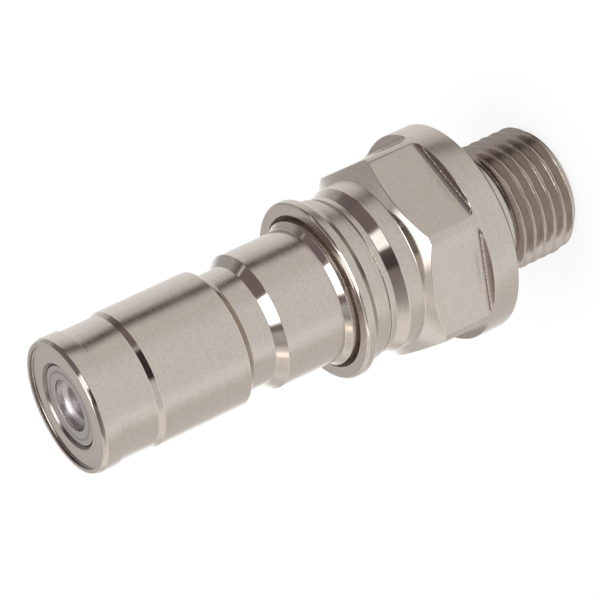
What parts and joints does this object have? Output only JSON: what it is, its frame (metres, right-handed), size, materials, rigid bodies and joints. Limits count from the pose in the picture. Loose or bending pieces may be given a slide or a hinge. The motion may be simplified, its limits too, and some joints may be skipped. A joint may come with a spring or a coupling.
{
  "type": "liquid cooling quick coupling plug",
  "caption": "Flat-face quick coupling plug for liquid cooling: nose with sprung poppet valve, ball-lock neck, collar, hex, flange and male pipe thread.",
  "frame": {"origin": "centre of the thread end face, where the part stands on a flat surface", "axes": "+Z along the axis from the thread end towards the nose; -Y points at a corner of the hex"},
  "size_m": [0.0158, 0.0158, 0.0407],
  "materials": {
    "steel": "satin turned stainless steel with polished chamfers",
    "valve_steel": "fine turned stainless steel",
    "spring_steel": "drawn stainless wire and strip",
    "seal_rubber": "black moulded rubber"
  },
  "bodies": {
    "body": {"adapter": "steel", "plug_body": "steel", "body_seal": "seal_rubber", "valve_guide": "valve_steel", "retaining_ring": "spring_steel", "valve_spring": "spring_steel"},
    "valve": {"poppet": "valve_steel", "poppet_seal": "seal_rubber"}
  },
  "joints": [
    {"name": "poppet_slide", "type": "slide", "parent": "body", "child": "valve", "axis": [0, 0, 1], "range_m": [-0.004, 0], "stiffness_N_per_m": 600, "springref_m": 0.005, "deforming": ["valve_spring"]}
  ]
}
